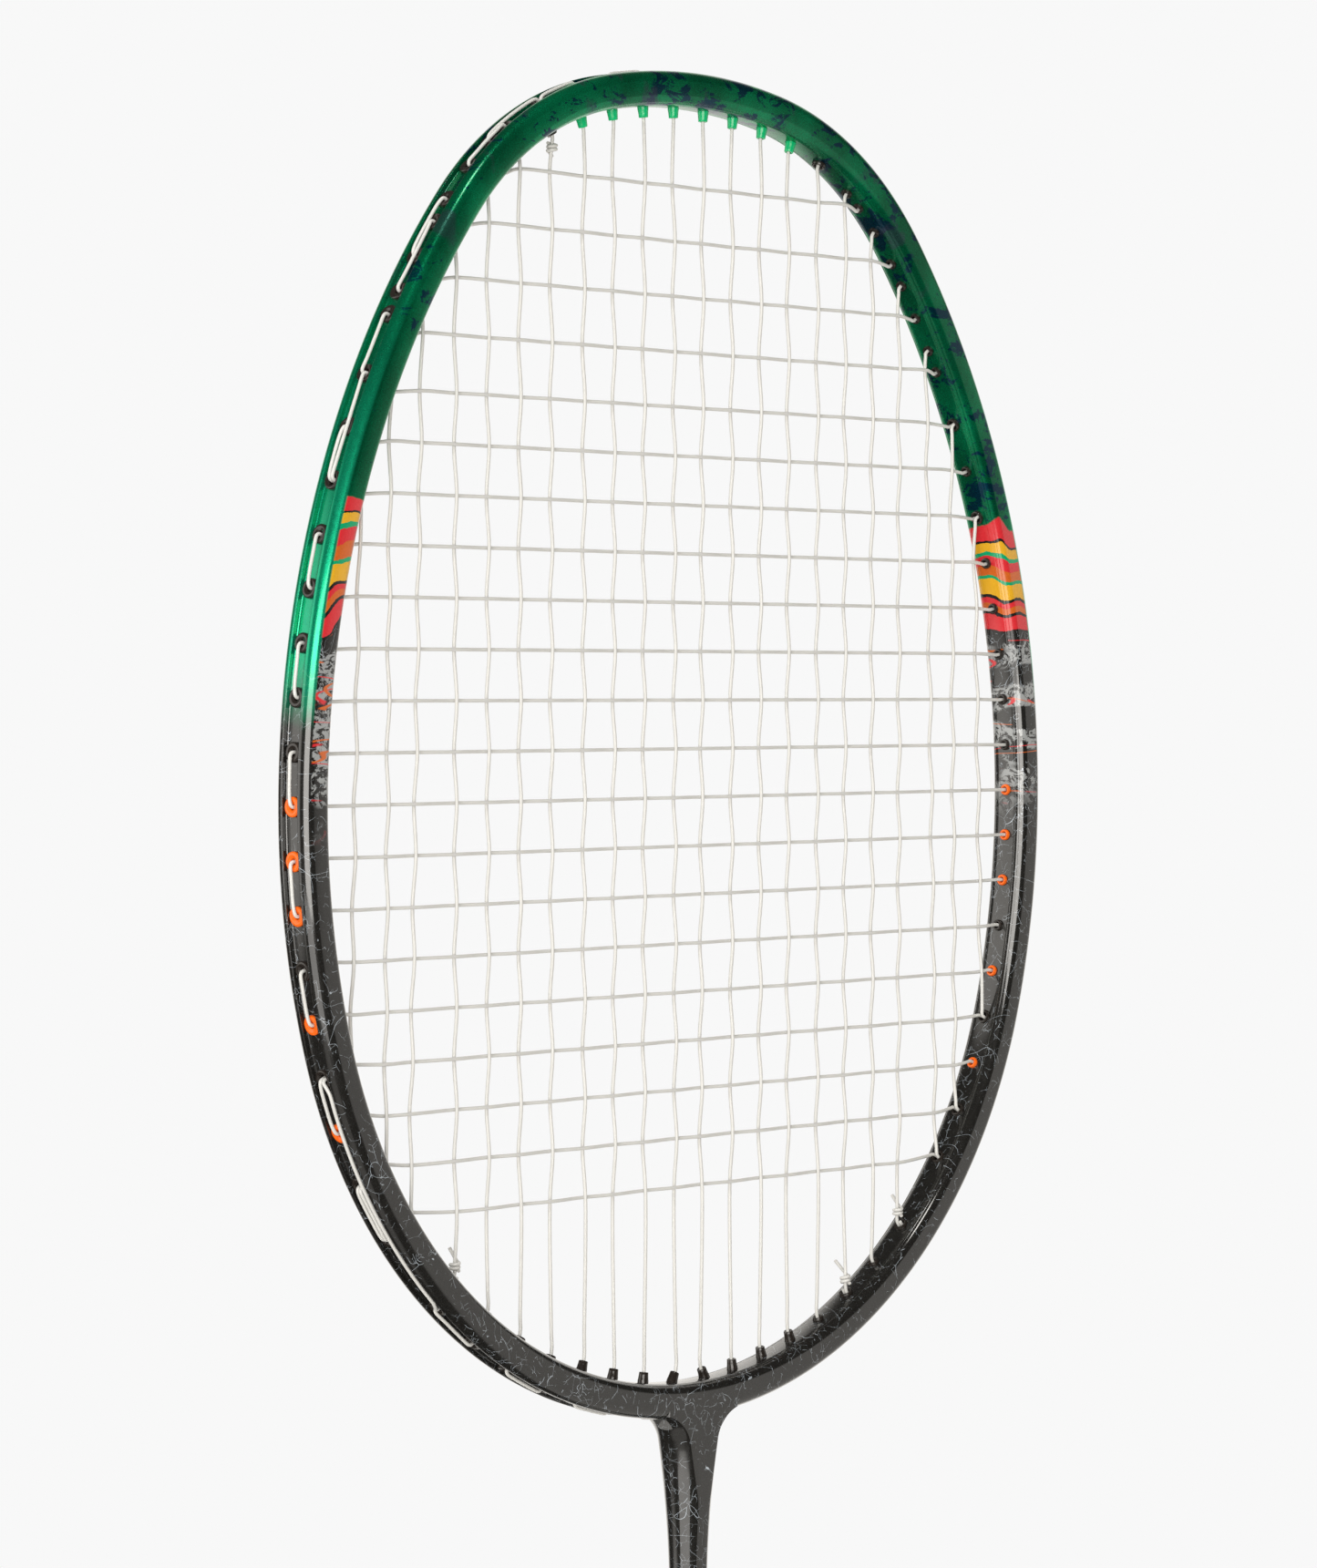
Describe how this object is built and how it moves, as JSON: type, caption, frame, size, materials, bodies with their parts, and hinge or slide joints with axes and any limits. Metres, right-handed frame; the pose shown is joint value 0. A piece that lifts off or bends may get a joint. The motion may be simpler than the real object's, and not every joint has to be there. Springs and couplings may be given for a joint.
{
  "type": "badminton racket",
  "caption": "Slim badminton racket: oval hollow head strung with woven strings in grommets, T-joint, thin round shaft, cone cap and eight-sided wrapped handle.",
  "frame": {"origin": "middle of the butt's end face", "axes": "+Z along the shaft from the butt to the tip of the head, +X across the head, +Y from the front of the string bed to the back"},
  "size_m": [0.2052, 0.0278, 0.6751],
  "materials": {
    "frame_paint": "glossy lacquer over carbon fibre",
    "shaft_paint": "glossy lacquer over carbon fibre",
    "inner_joint": "moulded carbon and nylon",
    "steel": "plain",
    "handle_wood": "bare",
    "black_plastic": "moulded",
    "grip": "tacky wrap",
    "tape": "vinyl tape",
    "disc_green": "bare",
    "grommet_green": "moulded nylon",
    "grommet_dark": "moulded nylon",
    "grommet_orange": "moulded nylon",
    "string": "braided nylon"
  },
  "bodies": {
    "root": {"head_frame": "frame_paint", "t_joint": "inner_joint", "shaft": "shaft_paint", "shaft_pin": "steel", "cone_cap": "black_plastic", "handle_core": "handle_wood", "base_grip": "grip", "grip_end_tape": "tape", "butt_cap": "black_plastic", "butt_disc": "disc_green", "grommets_tip": "grommet_green", "grommets_shoulder_left": "grommet_dark", "grommets_shoulder_right": "grommet_dark", "grommets_side_left": "grommet_dark", "grommets_side_right": "grommet_dark", "grommets_accent_left": "grommet_orange", "grommets_accent_right": "grommet_orange", "grommets_shared_left": "grommet_dark", "grommets_shared_right": "grommet_dark", "grommets_tie_left": "grommet_dark", "grommets_tie_right": "grommet_dark", "grommets_heel_left": "grommet_dark", "grommets_heel_right": "grommet_dark", "grommets_throat": "grommet_dark", "main_string": "string", "cross_string": "string", "main_knots": "string", "cross_knots": "string"}
  },
  "joints": []
}
